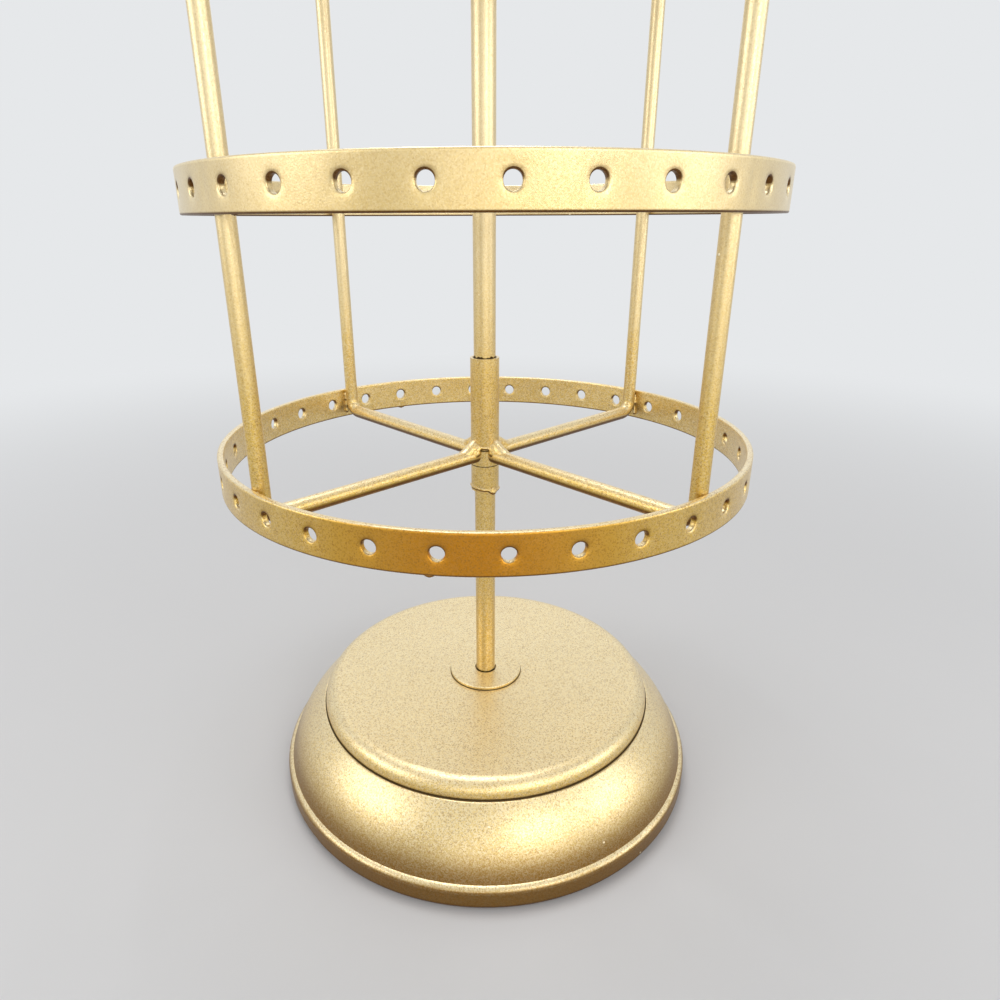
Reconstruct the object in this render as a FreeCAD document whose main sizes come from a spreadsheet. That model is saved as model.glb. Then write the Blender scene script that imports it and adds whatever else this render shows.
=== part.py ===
"""Rotating earring stand: three perforated hoops on bent rods that spin on a post over a round base.

Millimetres, +Z up. The origin is the point under the post on the surface that the stand rests on.
"""

import FreeCAD, Part
import math
import os
import re

import Sketcher

PARTS_FOLDER = "parts"

# Driving dimensions: alias, value in millimetres (or a count), what it is.
SIZES = [
    # base
    ("rim_lift", 0.5, "gap under the rolled rim, held open by the feet"),
    ("base_diameter", 161.8, "over the rolled rim"),
    ("rim_height", 8.9, "upright band of the rolled rim"),
    ("bead_radius", 2.2, "rounding of that band's upper and lower edge"),
    ("bead_inset", 0.3, "from the middle of that rounding to where the skirt wall meets it"),
    ("lip_width", 3.0, "lip turned in under the rolled rim"),
    ("skirt_height", 29.5, "rim bottom to flange top"),
    ("neck_diameter", 130.4, "top of the skirt"),
    ("swell_radius", 44.0, "full curve of the skirt's wall"),
    ("skirt_sheet", 1.0, "sheet of the skirt"),
    ("neck_fillet", 0.5, "rounding of the skirt's top edge"),
    ("flange_width", 12.0, "flange turned in under the top plate"),
    ("ledge_width", 0.95, "flange left bare round the top plate"),
    ("plate_height", 6.2, "height of the top plate"),
    ("plate_edge", 5.0, "rounding of the top plate's edge"),
    ("plate_sheet", 1.2, "sheet of the top plate"),
    ("washer_diameter", 28.3, "washer round the post"),
    ("washer_thickness", 1.3, "washer round the post"),
    ("washer_gap", 0.55, "radial gap between that washer and the post"),
    ("washer_edge", 0.4, "rounding of that washer's upper edge"),
    ("ballast_gap", 5.0, "radial gap between ballast and skirt"),
    ("ballast_thickness", 6.0, "iron plate under the flange"),
    ("cover_gap", 0.2, "radial gap between bottom cover and rim"),
    ("cover_thickness", 2.0, "bottom cover"),
    ("foot_diameter", 12.0, "rubber foot"),
    ("foot_inset", 9.0, "from the cover's edge to a foot's middle"),
    # post and what holds it
    ("post_diameter", 7.5, "round bar"),
    ("stud_diameter", 6.0, "threaded lower end of the post"),
    ("stud_hole_gap", 0.2, "radial gap of the holes that the lower thread goes through"),
    ("stud_tail", 2.0, "thread left showing past the nut"),
    ("nut_washer_diameter", 18.0, "plain washer over the nut"),
    ("nut_washer_thickness", 1.6, "plain washer over the nut"),
    ("spring_washer_diameter", 11.8, "split washer"),
    ("spring_washer_thickness", 1.6, "split washer"),
    ("spring_washer_split", 1.0, "slot in the split washer"),
    ("nut_flats", 10.0, "across the flats of the nut"),
    ("nut_height", 5.0, "nut"),
    ("collar_length", 9.5, "stop collar under the lower hub"),
    ("tip_diameter", 5.0, "threaded upper end of the post"),
    ("tip_length", 8.0, "threaded upper end of the post"),
    ("tip_hole_gap", 0.15, "radial gap of the top washer's hole"),
    ("top_washer_diameter", 14.0, "washer under the finial"),
    ("top_washer_thickness", 1.0, "washer under the finial"),
    ("finial_foot_diameter", 11.0, "foot of the finial"),
    ("finial_foot_height", 2.5, "foot of the finial"),
    ("finial_neck_diameter", 7.6, "neck under the ball"),
    ("finial_neck_height", 1.5, "neck under the ball"),
    ("finial_ball_diameter", 16.0, "ball"),
    ("finial_hole_spare", 1.0, "blind thread left over past the post's tip"),
    # turning cage
    ("turn_gap", 0.3, "axial gap at each end of the cage"),
    ("hub_diameter", 10.0, "hub tube"),
    ("hub_gap", 0.4, "radial gap between hub and post"),
    ("lower_hub_length", 38.0, "hub tube at the foot of the cage"),
    ("upper_hub_length", 30.0, "hub tube at the head of the cage"),
    ("hub_overhang", 3.6, "hub end past the middle of the spokes"),
    ("hoop_diameter", 180.0, "over the hoops"),
    ("hoop_floor", 126.0, "bottom edge of the lower hoop"),
    ("tier_pitch", 82.3, "one hoop to the next"),
    ("strip_height", 12.0, "hoop strip"),
    ("strip_thickness", 2.0, "hoop strip"),
    ("strip_edge", 0.5, "rounding of the strip's edges"),
    ("hole_diameter", 4.0, "punched hole for an earring hook"),
    ("punch_reach", 1.0, "how far the punch runs past each face of the strip"),
    ("hole_count", 32, "punched holes in one hoop"),
    ("rod_diameter", 5.0, "bent rod"),
    ("rod_bend", 5.0, "bend of the rod, to its middle line"),
    ("spoke_inset", 2.9, "middle of a spoke from the hoop's outer edge"),
    ("weld_sink", 0.08, "how far a rod is fused into the hoop"),
]

# Counts and angles that the cage's layout is built on.
ROD_ANGLES = {
    "rod_back_right": 45,
    "rod_back_left": 135,
    "rod_front_left": 225,
    "rod_front_right": 315,
}
FOOT_COUNT = 4
HOOP_TIERS = {"hoop_lower": 0, "hoop_middle": 1, "hoop_upper": 2}

# Heights and radii that several pieces share, as formulas on the driving dimensions.
FLANGE_TOP = "rim_lift + skirt_height"
FLANGE_UNDER = f"{FLANGE_TOP} - skirt_sheet"
PLATE_TOP = f"{FLANGE_TOP} + plate_height"
NECK_RADIUS = "neck_diameter / 2"
PLATE_RADIUS = f"{NECK_RADIUS} - ledge_width"
BEAD_MIDDLE = "base_diameter / 2 - bead_radius"
BEAD_HEIGHT = "rim_lift + bead_radius"
SHOULDER_HEIGHT = "rim_lift + rim_height - bead_radius"
WALL_FOOT = f"({BEAD_MIDDLE} + bead_inset)"
WALL_FOOT_HEIGHT = f"({SHOULDER_HEIGHT} + sqrt(bead_radius ^ 2 - bead_inset ^ 2))"
LIP_TOP = "rim_lift + skirt_sheet"
COVER_RADIUS = f"{BEAD_MIDDLE} - cover_gap"
STUD_HOLE = "stud_diameter / 2 + stud_hole_gap"
BALLAST_UNDER = f"{FLANGE_UNDER} - ballast_thickness"
NUT_WASHER_UNDER = f"{BALLAST_UNDER} - nut_washer_thickness"
SPRING_WASHER_UNDER = f"{NUT_WASHER_UNDER} - spring_washer_thickness"
NUT_UNDER = f"{SPRING_WASHER_UNDER} - nut_height"
POST_RADIUS = "post_diameter / 2"
HUB_BORE = f"{POST_RADIUS} + hub_gap"
HUB_RADIUS = "hub_diameter / 2"
LOWER_SPOKE = "hoop_floor + spoke_inset"
LOWER_HUB_UNDER = f"{LOWER_SPOKE} - hub_overhang"
CAGE_TOP = "hoop_floor + 2 * tier_pitch + strip_height"
UPPER_SPOKE = f"{CAGE_TOP} - spoke_inset"
UPPER_HUB_TOP = f"{UPPER_SPOKE} + hub_overhang"
COLLAR_TOP = f"{LOWER_HUB_UNDER} - turn_gap"
POST_SHOULDER = f"{UPPER_HUB_TOP} + turn_gap"
TIP_TOP = f"{POST_SHOULDER} + tip_length"
FINIAL_UNDER = f"{POST_SHOULDER} + top_washer_thickness"
HOOP_RADIUS = "hoop_diameter / 2"
ROD_RADIUS = "rod_diameter / 2"
UPRIGHT_RADIUS = f"{HOOP_RADIUS} - strip_thickness + weld_sink - {ROD_RADIUS}"


# ---------------------------------------------------------------- sheet and formulas

def make_sheet(doc):
    """Write the driving dimensions into a spreadsheet, one alias per row."""
    sheet = doc.addObject("Spreadsheet::Sheet", "Sizes")
    for row, (alias, value, note) in enumerate(SIZES, start=1):
        sheet.set(f"A{row}", alias)
        sheet.set(f"B{row}", str(value))
        sheet.set(f"C{row}", note)
        sheet.setAlias(f"B{row}", alias)
    doc.recompute()
    return sheet


def bound(formula):
    """The same formula with every alias pointed at the sheet."""
    return re.sub(r"\b([a-z]+(?:_[a-z]+)+)\b", r"Sizes.\1", formula)


def number(owner, formula):
    """The formula's present value."""
    return float(owner.Document.getObject("Sizes").evalExpression(bound(formula)))


# ---------------------------------------------------------------- bodies and sketches

def new_body(doc, label):
    body = doc.addObject("PartDesign::Body", label)
    body.Label = label
    return body


def origin_item(body, role):
    """One of the body's own origin planes or axes."""
    return next(item for item in body.Origin.OriginFeatures if item.Role == role)


def new_sketch(body, name, role="XZ_Plane"):
    """A sketch on one of the body's own origin planes; XZ puts the radius across and Z up."""
    sketch = body.newObject("Sketcher::SketchObject", name)
    sketch.AttachmentSupport = [(origin_item(body, role), "")]
    sketch.MapMode = "FlatFace"
    return sketch


def constrain(sketch, *definition, formula=None):
    """Add one constraint; a formula drives its value."""
    if formula is None:
        return sketch.addConstraint(Sketcher.Constraint(*definition))
    index = sketch.addConstraint(Sketcher.Constraint(*definition, number(sketch, formula)))
    sketch.setExpression(f"Constraints[{index}]", bound(formula))
    return index


def place_point(sketch, edge, end, across, up):
    """Tie one end of an edge to the sketch's origin by two formulas."""
    for kind, axis, formula in (("DistanceX", -2, across), ("DistanceY", -1, up)):
        if formula == "0":
            constrain(sketch, "PointOnObject", edge, end, axis)
        else:
            constrain(sketch, kind, -1, 1, edge, end, formula=formula)


def arc_between(start, finish, radius, leftward):
    """The short arc from start to finish; leftward keeps its middle on the left of the way."""
    chord = finish - start
    half = chord.Length / 2
    reach = math.sqrt(max(radius * radius - half * half, 0.0))
    left = FreeCAD.Vector(-chord.y, chord.x, 0).normalize()
    centre = start + chord * 0.5 + left * (reach if leftward else -reach)
    bulge = (start + chord * 0.5 - centre).normalize() if reach > 1e-9 else left
    return Part.Arc(start, centre + bulge * radius, finish)


def draw_outline(sketch, corners):
    """A closed outline with every corner tied to the sheet.

    A corner is (across, up) after a straight edge, or (across, up, radius, side) after an arc of
    that radius whose middle lies on the "left" or "right" of the way.
    """
    points = [FreeCAD.Vector(number(sketch, c[0]), number(sketch, c[1]), 0) for c in corners]
    ends = []
    for index, corner in enumerate(corners):
        start, finish = points[index - 1], points[index]
        if len(corner) == 2:
            edge = sketch.addGeometry(Part.LineSegment(start, finish), False)
            ends.append((edge, 1, 2))
            continue
        radius, side = corner[2:]
        arc = arc_between(start, finish, number(sketch, radius), side == "left")
        edge = sketch.addGeometry(arc, False)
        constrain(sketch, "Radius", edge, formula=radius)
        ends.append((edge, 1, 2) if side == "left" else (edge, 2, 1))
    for index, corner in enumerate(corners):
        edge, _, last = ends[index]
        following, first, _ = ends[(index + 1) % len(corners)]
        constrain(sketch, "Coincident", edge, last, following, first)
        place_point(sketch, edge, last, corner[0], corner[1])


def ring_outline(inner, outer, low, high):
    """Corners of a plain ring's section."""
    return [(inner, low), (outer, low), (outer, high), (inner, high)]


def revolve(body, name, corners):
    """Turn an outline once round Z."""
    sketch = new_sketch(body, f"{name}_section")
    draw_outline(sketch, corners)
    turned = body.newObject("PartDesign::Revolution", name)
    turned.Profile = sketch
    turned.ReferenceAxis = (sketch, ["V_Axis"])
    turned.Angle = 360
    body.Tip = turned
    return turned


def turned_piece(doc, label, corners):
    """A body made by one turned outline."""
    body = new_body(doc, label)
    revolve(body, f"{label}_turned", corners)
    return body


def circle_sketch(body, name, role, across, up, diameter):
    """A sketch with one circle."""
    sketch = new_sketch(body, name, role)
    centre = FreeCAD.Vector(number(sketch, across), number(sketch, up), 0)
    radius = number(sketch, diameter) / 2
    edge = sketch.addGeometry(Part.Circle(centre, FreeCAD.Vector(0, 0, 1), radius), False)
    constrain(sketch, "Diameter", edge, formula=diameter)
    place_point(sketch, edge, 3, across, up)
    return sketch


def lift_sketch(sketch, formula):
    """Move a sketch off its plane, along the plane's normal."""
    lift = FreeCAD.Vector(0, 0, number(sketch, formula))
    sketch.AttachmentOffset = FreeCAD.Placement(lift, FreeCAD.Rotation())
    sketch.setExpression("AttachmentOffset.Base.z", bound(formula))


def turn_body(body, formula):
    """Turn a whole body about Z."""
    body.Placement = FreeCAD.Placement(FreeCAD.Vector(), FreeCAD.Rotation(FreeCAD.Vector(0, 0, 1), 0))
    body.setExpression("Placement.Rotation.Angle", bound(formula))


def round_edges(body, name, formula, wanted):
    """Round the edges of the body's tip that the test picks."""
    body.Document.recompute()
    base = body.Tip
    picked = [f"Edge{index}" for index, edge in enumerate(base.Shape.Edges, start=1) if wanted(edge)]
    if not picked:
        raise ValueError(f"{body.Label}: no edge to round")
    rounding = body.newObject("PartDesign::Fillet", name)
    rounding.Base = (base, picked)
    rounding.setExpression("Radius", bound(formula))
    body.Tip = rounding
    return rounding


def is_circle_at(edge, radius, height):
    """True for a level circular edge of that radius at that height."""
    if not isinstance(edge.Curve, Part.Circle):
        return False
    return abs(edge.Curve.Radius - radius) < 1e-4 and abs(edge.Curve.Center.z - height) < 1e-4


# ---------------------------------------------------------------- base

def wall_middle():
    """Middle of the wall's curve, across and up, from the curve's two ends and its radius."""
    run = f"({WALL_FOOT} - {NECK_RADIUS})"
    drop = f"({FLANGE_TOP} - {WALL_FOOT_HEIGHT})"
    reach = f"sqrt(swell_radius ^ 2 / ({run} ^ 2 + {drop} ^ 2) - 0.25)"
    across = f"({WALL_FOOT} + {NECK_RADIUS}) / 2 - {drop} * {reach}"
    up = f"({FLANGE_TOP} + {WALL_FOOT_HEIGHT}) / 2 - {run} * {reach}"
    return across, up


def wall_inside(height):
    """Inner face of the wall at that height, one sheet in from the outer curve."""
    across, up = wall_middle()
    return f"{across} + sqrt((swell_radius - skirt_sheet) ^ 2 - ({height} - ({up})) ^ 2)"


def skirt_outline():
    """Corners of the skirt's sheet: flange, wall, rim and lip outside, then back up inside."""
    outside = "base_diameter / 2"
    inside = f"{outside} - skirt_sheet"
    fold_radius = "bead_radius - skirt_sheet"
    fold_height = f"{SHOULDER_HEIGHT} + {fold_radius}"
    flange_inside = f"{NECK_RADIUS} - flange_width"
    lip_inside = f"{BEAD_MIDDLE} - lip_width"
    return [
        (flange_inside, FLANGE_TOP),
        (NECK_RADIUS, FLANGE_TOP),
        (WALL_FOOT, WALL_FOOT_HEIGHT, "swell_radius", "right"),
        (outside, SHOULDER_HEIGHT, "bead_radius", "right"),
        (outside, BEAD_HEIGHT),
        (BEAD_MIDDLE, "rim_lift", "bead_radius", "right"),
        (lip_inside, "rim_lift"),
        (lip_inside, LIP_TOP),
        (BEAD_MIDDLE, LIP_TOP),
        (inside, BEAD_HEIGHT, fold_radius, "left"),
        (inside, SHOULDER_HEIGHT),
        (BEAD_MIDDLE, fold_height, fold_radius, "left"),
        (wall_inside(fold_height), fold_height),
        (wall_inside(FLANGE_UNDER), FLANGE_UNDER, "swell_radius - skirt_sheet", "left"),
        (flange_inside, FLANGE_UNDER),
    ]


def base_skirt(doc):
    """Drawn sheet skirt: flange, full wall, upright rim and lip, all of one sheet."""
    body = turned_piece(doc, "base_skirt", skirt_outline())
    neck = number(body, NECK_RADIUS)
    top = number(body, FLANGE_TOP)
    round_edges(body, "neck_rounding", "neck_fillet", lambda edge: is_circle_at(edge, neck, top))
    return body


def top_plate(doc):
    """Flat pressed plate with a rounded, turned-down edge, standing on the skirt's flange."""
    outer = PLATE_RADIUS
    inner = f"{PLATE_RADIUS} - plate_sheet"
    under = f"{PLATE_TOP} - plate_sheet"
    return turned_piece(doc, "top_plate", [
        (STUD_HOLE, under),
        (f"{PLATE_RADIUS} - plate_edge", under),
        (inner, f"{PLATE_TOP} - plate_edge", "plate_edge - plate_sheet", "right"),
        (inner, FLANGE_TOP),
        (outer, FLANGE_TOP),
        (outer, f"{PLATE_TOP} - plate_edge"),
        (f"{PLATE_RADIUS} - plate_edge", PLATE_TOP, "plate_edge", "left"),
        (STUD_HOLE, PLATE_TOP),
    ])


def flange_washer(doc):
    """Thin washer lying on the plate, with a hole wider than the post."""
    bore = f"{POST_RADIUS} + washer_gap"
    top = f"{PLATE_TOP} + washer_thickness"
    return turned_piece(doc, "flange_washer", [
        (bore, PLATE_TOP),
        ("washer_diameter / 2", PLATE_TOP),
        ("washer_diameter / 2", f"{top} - washer_edge"),
        ("washer_diameter / 2 - washer_edge", top, "washer_edge", "left"),
        (bore, top),
    ])


def ballast_plate(doc):
    """Iron disc that the nut pulls up against the skirt's flange."""
    radius = f"{NECK_RADIUS} - skirt_sheet - ballast_gap"
    return turned_piece(doc, "ballast_plate", ring_outline(STUD_HOLE, radius, BALLAST_UNDER, FLANGE_UNDER))


def bottom_cover(doc):
    """Plastic disc snapped in over the rim's lip."""
    top = f"{LIP_TOP} + cover_thickness"
    return turned_piece(doc, "bottom_cover", [
        ("0", LIP_TOP), (COVER_RADIUS, LIP_TOP), (COVER_RADIUS, top), ("0", top),
    ])


def foot(doc, index):
    """Rubber disc stuck under the cover."""
    body = new_body(doc, f"foot_{index + 1}")
    place = f"{COVER_RADIUS} - foot_inset"
    sketch = circle_sketch(body, f"foot_{index + 1}_disc", "XY_Plane", place, "0", "foot_diameter")
    pad = body.newObject("PartDesign::Pad", f"foot_{index + 1}_pad")
    pad.Profile = sketch
    pad.setExpression("Length", bound(LIP_TOP))
    body.Tip = pad
    turn_body(body, f"{45 + index * 360 / FOOT_COUNT:g}")
    return body


# ---------------------------------------------------------------- post and fasteners

def post(doc):
    """Round bar with a threaded stud at each end; its lower shoulder stands on the top plate."""
    return turned_piece(doc, "post", [
        ("0", f"{NUT_UNDER} - stud_tail"),
        ("stud_diameter / 2", f"{NUT_UNDER} - stud_tail"),
        ("stud_diameter / 2", PLATE_TOP),
        (POST_RADIUS, PLATE_TOP),
        (POST_RADIUS, POST_SHOULDER),
        ("tip_diameter / 2", POST_SHOULDER),
        ("tip_diameter / 2", TIP_TOP),
        ("0", TIP_TOP),
    ])


def nut_washer(doc):
    """Plain washer that spreads the nut's pull over the ballast."""
    bore = STUD_HOLE
    outer = "nut_washer_diameter / 2"
    return turned_piece(doc, "nut_washer", ring_outline(bore, outer, NUT_WASHER_UNDER, BALLAST_UNDER))


def spring_washer(doc):
    """Ring with one slot, pressed flat."""
    outer = "spring_washer_diameter / 2"
    body = new_body(doc, "spring_washer")
    ring = revolve(body, "spring_ring", ring_outline(STUD_HOLE, outer, SPRING_WASHER_UNDER, NUT_WASHER_UNDER))
    sketch = new_sketch(body, "spring_slot", "XY_Plane")
    half = "spring_washer_split / 2"
    far = "spring_washer_diameter"
    draw_outline(sketch, [("0", f"-{half}"), (far, f"-{half}"), (far, half), ("0", half)])
    slot = body.newObject("PartDesign::Pocket", "spring_slot_cut")
    slot.Profile = sketch
    slot.Type = "ThroughAll"
    slot.Reversed = True
    body.Tip = slot
    doc.recompute()
    if slot.Shape.Volume >= ring.Shape.Volume:
        raise ValueError("the split washer has no slot")
    return body


def post_nut(doc):
    """Hexagon nut with its bore."""
    body = new_body(doc, "post_nut")
    sketch = new_sketch(body, "nut_hexagon", "XY_Plane")
    radius = number(body, "nut_flats") / math.sqrt(3)
    corners = [FreeCAD.Vector(radius, 0, 0)]
    turn = FreeCAD.Rotation(FreeCAD.Vector(0, 0, 1), 60)
    for _ in range(5):
        corners.append(turn.multVec(corners[-1]))
    sides = [sketch.addGeometry(Part.LineSegment(corners[i - 1], corners[i]), False) for i in range(6)]
    guide = sketch.addGeometry(Part.Circle(FreeCAD.Vector(), FreeCAD.Vector(0, 0, 1), radius), True)
    constrain(sketch, "Coincident", guide, 3, -1, 1)
    for index, side in enumerate(sides):
        constrain(sketch, "Coincident", side, 2, sides[(index + 1) % 6], 1)
        constrain(sketch, "PointOnObject", side, 1, guide)
        if index:
            constrain(sketch, "Equal", sides[0], side)
    constrain(sketch, "PointOnObject", sides[1], 1, -1)
    constrain(sketch, "Radius", guide, formula="nut_flats / sqrt(3)")
    pad = body.newObject("PartDesign::Pad", "nut_block")
    pad.Profile = sketch
    pad.setExpression("Length", bound("nut_height"))
    lift_sketch(sketch, NUT_UNDER)
    body.Tip = pad
    doc.recompute()
    bore = circle_sketch(body, "nut_bore", "XY_Plane", "0", "0", "stud_diameter")
    cut = body.newObject("PartDesign::Pocket", "nut_bore_cut")
    cut.Profile = bore
    cut.Type = "ThroughAll"
    cut.Reversed = True
    body.Tip = cut
    doc.recompute()
    if cut.Shape.Volume >= pad.Shape.Volume:
        raise ValueError("the nut has no bore")
    return body


def stop_collar(doc):
    """Short tube fixed on the post; the turning cage rests over it."""
    low = f"{COLLAR_TOP} - collar_length"
    return turned_piece(doc, "stop_collar", ring_outline(POST_RADIUS, HUB_RADIUS, low, COLLAR_TOP))


def top_washer(doc):
    """Plain washer on the post's upper shoulder; it keeps the cage on."""
    bore = "tip_diameter / 2 + tip_hole_gap"
    outer = "top_washer_diameter / 2"
    return turned_piece(doc, "top_washer", ring_outline(bore, outer, POST_SHOULDER, FINIAL_UNDER))


def finial(doc):
    """Turned ball on a neck and foot, with a blind thread for the post's tip."""
    neck_under = f"{FINIAL_UNDER} + finial_foot_height"
    neck_top = f"{neck_under} + finial_neck_height"
    neck = "finial_neck_diameter / 2"
    ball = "finial_ball_diameter / 2"
    middle = f"{neck_top} + sqrt(({ball}) ^ 2 - ({neck}) ^ 2)"
    hole_end = f"{TIP_TOP} + finial_hole_spare"
    return turned_piece(doc, "finial", [
        ("tip_diameter / 2", FINIAL_UNDER),
        ("finial_foot_diameter / 2", FINIAL_UNDER),
        ("finial_foot_diameter / 2", neck_under),
        (neck, neck_under),
        (neck, neck_top),
        (ball, middle, ball, "left"),
        ("0", f"{middle} + {ball}", ball, "left"),
        ("0", hole_end),
        ("tip_diameter / 2", hole_end),
    ])


# ---------------------------------------------------------------- turning cage

def lower_hub(doc):
    """Tube that turns on the post under the lower spokes and up inside the cage."""
    top = f"{LOWER_HUB_UNDER} + lower_hub_length"
    return turned_piece(doc, "lower_hub", ring_outline(HUB_BORE, HUB_RADIUS, LOWER_HUB_UNDER, top))


def upper_hub(doc):
    """Tube that turns on the post at the head of the cage."""
    low = f"{UPPER_HUB_TOP} - upper_hub_length"
    return turned_piece(doc, "upper_hub", ring_outline(HUB_BORE, HUB_RADIUS, low, UPPER_HUB_TOP))


def hoop(doc, label, tier):
    """Flat strip rolled into a hoop and punched all the way round."""
    body = new_body(doc, label)
    low = f"hoop_floor + {tier} * tier_pitch"
    high = f"{low} + strip_height"
    inner = f"{HOOP_RADIUS} - strip_thickness"
    strip = revolve(body, f"{label}_strip", [
        (inner, f"{low} + strip_edge"),
        (f"{inner} + strip_edge", low, "strip_edge", "left"),
        (f"{HOOP_RADIUS} - strip_edge", low),
        (HOOP_RADIUS, f"{low} + strip_edge", "strip_edge", "left"),
        (HOOP_RADIUS, f"{high} - strip_edge"),
        (f"{HOOP_RADIUS} - strip_edge", high, "strip_edge", "left"),
        (f"{inner} + strip_edge", high),
        (inner, f"{high} - strip_edge", "strip_edge", "left"),
    ])
    middle = f"{low} + strip_height / 2"
    punch = circle_sketch(body, f"{label}_punch", "XZ_Plane", "0", middle, "hole_diameter")
    lift_sketch(punch, f"{HOOP_RADIUS} + punch_reach")
    hole = body.newObject("PartDesign::Pocket", f"{label}_hole")
    hole.Profile = punch
    hole.setExpression("Length", bound("strip_thickness + 2 * punch_reach"))
    doc.recompute()
    one_hole = strip.Shape.Volume - hole.Shape.Volume
    pattern = body.newObject("PartDesign::PolarPattern", f"{label}_holes")
    pattern.Originals = [hole]
    pattern.Axis = (origin_item(body, "Z_Axis"), [""])
    pattern.Angle = 360
    pattern.setExpression("Occurrences", bound("hole_count"))
    body.Tip = pattern
    # Half a hole's step, so that each rod is welded between two holes.
    turn_body(body, "180 / hole_count")
    doc.recompute()
    expected = strip.Shape.Volume - number(body, "hole_count") * one_hole
    if one_hole <= 0 or abs(body.Shape.Volume - expected) > 0.5 * one_hole:
        raise ValueError(f"{label}: the holes are not all there")
    return body


def rod(doc, label, angle):
    """One rod: in along the lower spoke, up past the hoops and back along the upper spoke."""
    body = new_body(doc, label)
    path = new_sketch(body, f"{label}_path")
    draw_rod_path(path)
    section = circle_sketch(body, f"{label}_section", "YZ_Plane", "0", LOWER_SPOKE, "rod_diameter")
    pipe = body.newObject("PartDesign::AdditivePipe", f"{label}_bent")
    pipe.Profile = section
    pipe.Spine = path
    body.Tip = pipe
    doc.recompute()
    # Both ends are coped to the hub tube.
    cope = circle_sketch(body, f"{label}_cope", "XY_Plane", "0", "0", "hub_diameter")
    cut = body.newObject("PartDesign::Pocket", f"{label}_coped")
    cut.Profile = cope
    cut.Type = "ThroughAll"
    cut.Reversed = True
    body.Tip = cut
    doc.recompute()
    if cut.Shape.Volume >= pipe.Shape.Volume:
        raise ValueError(f"{label}: the ends are not coped")
    turn_body(body, str(angle))
    return body


def arc_about(centre, start, finish):
    """Counter-clockwise arc about a centre from start to finish."""
    first = math.atan2(start.y - centre.y, start.x - centre.x)
    last = math.atan2(finish.y - centre.y, finish.x - centre.x)
    circle = Part.Circle(centre, FreeCAD.Vector(0, 0, 1), (start - centre).Length)
    return Part.ArcOfCircle(circle, first, last)


def draw_rod_path(sketch):
    """Open path from the axis out, up and back, with two equal bends."""
    far = number(sketch, UPRIGHT_RADIUS)
    low = number(sketch, LOWER_SPOKE)
    high = number(sketch, UPPER_SPOKE)
    bend = number(sketch, "rod_bend")
    low_middle = FreeCAD.Vector(far - bend, low + bend, 0)
    high_middle = FreeCAD.Vector(far - bend, high - bend, 0)
    spoke_end = FreeCAD.Vector(far - bend, low, 0)
    upright_foot = FreeCAD.Vector(far, low + bend, 0)
    upright_head = FreeCAD.Vector(far, high - bend, 0)
    spoke_start = FreeCAD.Vector(far - bend, high, 0)
    low_spoke, low_bend, upright, high_bend, high_spoke = sketch.addGeometry([
        Part.LineSegment(FreeCAD.Vector(0, low, 0), spoke_end),
        arc_about(low_middle, spoke_end, upright_foot),
        Part.LineSegment(upright_foot, upright_head),
        arc_about(high_middle, upright_head, spoke_start),
        Part.LineSegment(spoke_start, FreeCAD.Vector(0, high, 0)),
    ], False)
    constrain(sketch, "Tangent", low_spoke, 2, low_bend, 1)
    constrain(sketch, "Tangent", low_bend, 2, upright, 1)
    constrain(sketch, "Tangent", upright, 2, high_bend, 1)
    constrain(sketch, "Tangent", high_bend, 2, high_spoke, 1)
    constrain(sketch, "Horizontal", low_spoke)
    constrain(sketch, "Horizontal", high_spoke)
    constrain(sketch, "Equal", low_bend, high_bend)
    constrain(sketch, "Radius", low_bend, formula="rod_bend")
    constrain(sketch, "DistanceX", -1, 1, upright, 1, formula=UPRIGHT_RADIUS)
    place_point(sketch, low_spoke, 1, "0", LOWER_SPOKE)
    place_point(sketch, high_spoke, 2, "0", UPPER_SPOKE)


# ---------------------------------------------------------------- document

def build(doc):
    """Every piece of the stand, one body each."""
    make_sheet(doc)
    pieces = [base_skirt(doc), top_plate(doc), flange_washer(doc), ballast_plate(doc), bottom_cover(doc)]
    pieces += [foot(doc, index) for index in range(FOOT_COUNT)]
    pieces += [post(doc), stop_collar(doc), nut_washer(doc), spring_washer(doc), post_nut(doc)]
    pieces += [top_washer(doc), finial(doc), lower_hub(doc), upper_hub(doc)]
    pieces += [hoop(doc, label, tier) for label, tier in HOOP_TIERS.items()]
    pieces += [rod(doc, label, angle) for label, angle in ROD_ANGLES.items()]
    doc.recompute()
    return pieces


def check(doc, pieces):
    """Stop on any failed object or bad shape."""
    for item in doc.Objects:
        if "Invalid" in item.State or "Error" in item.State:
            raise ValueError(f"{item.Name} failed: {item.State}")
    for piece in pieces:
        shape = piece.Shape
        if shape.isNull() or not shape.isValid() or len(shape.Solids) != 1:
            raise ValueError(f"{piece.Label} is not one valid solid")


def export(pieces):
    """Write one STEP file for each piece."""
    os.makedirs(PARTS_FOLDER, exist_ok=True)
    for piece in pieces:
        piece.Shape.exportStep(os.path.join(PARTS_FOLDER, f"{piece.Label}.step"))


def main():
    """Build, check and write the stand."""
    doc = FreeCAD.newDocument("earring_stand")
    pieces = build(doc)
    check(doc, pieces)
    export(pieces)


main()
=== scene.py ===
import math
import random

import bmesh
import bpy
from mathutils import Matrix, Vector, noise


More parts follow.
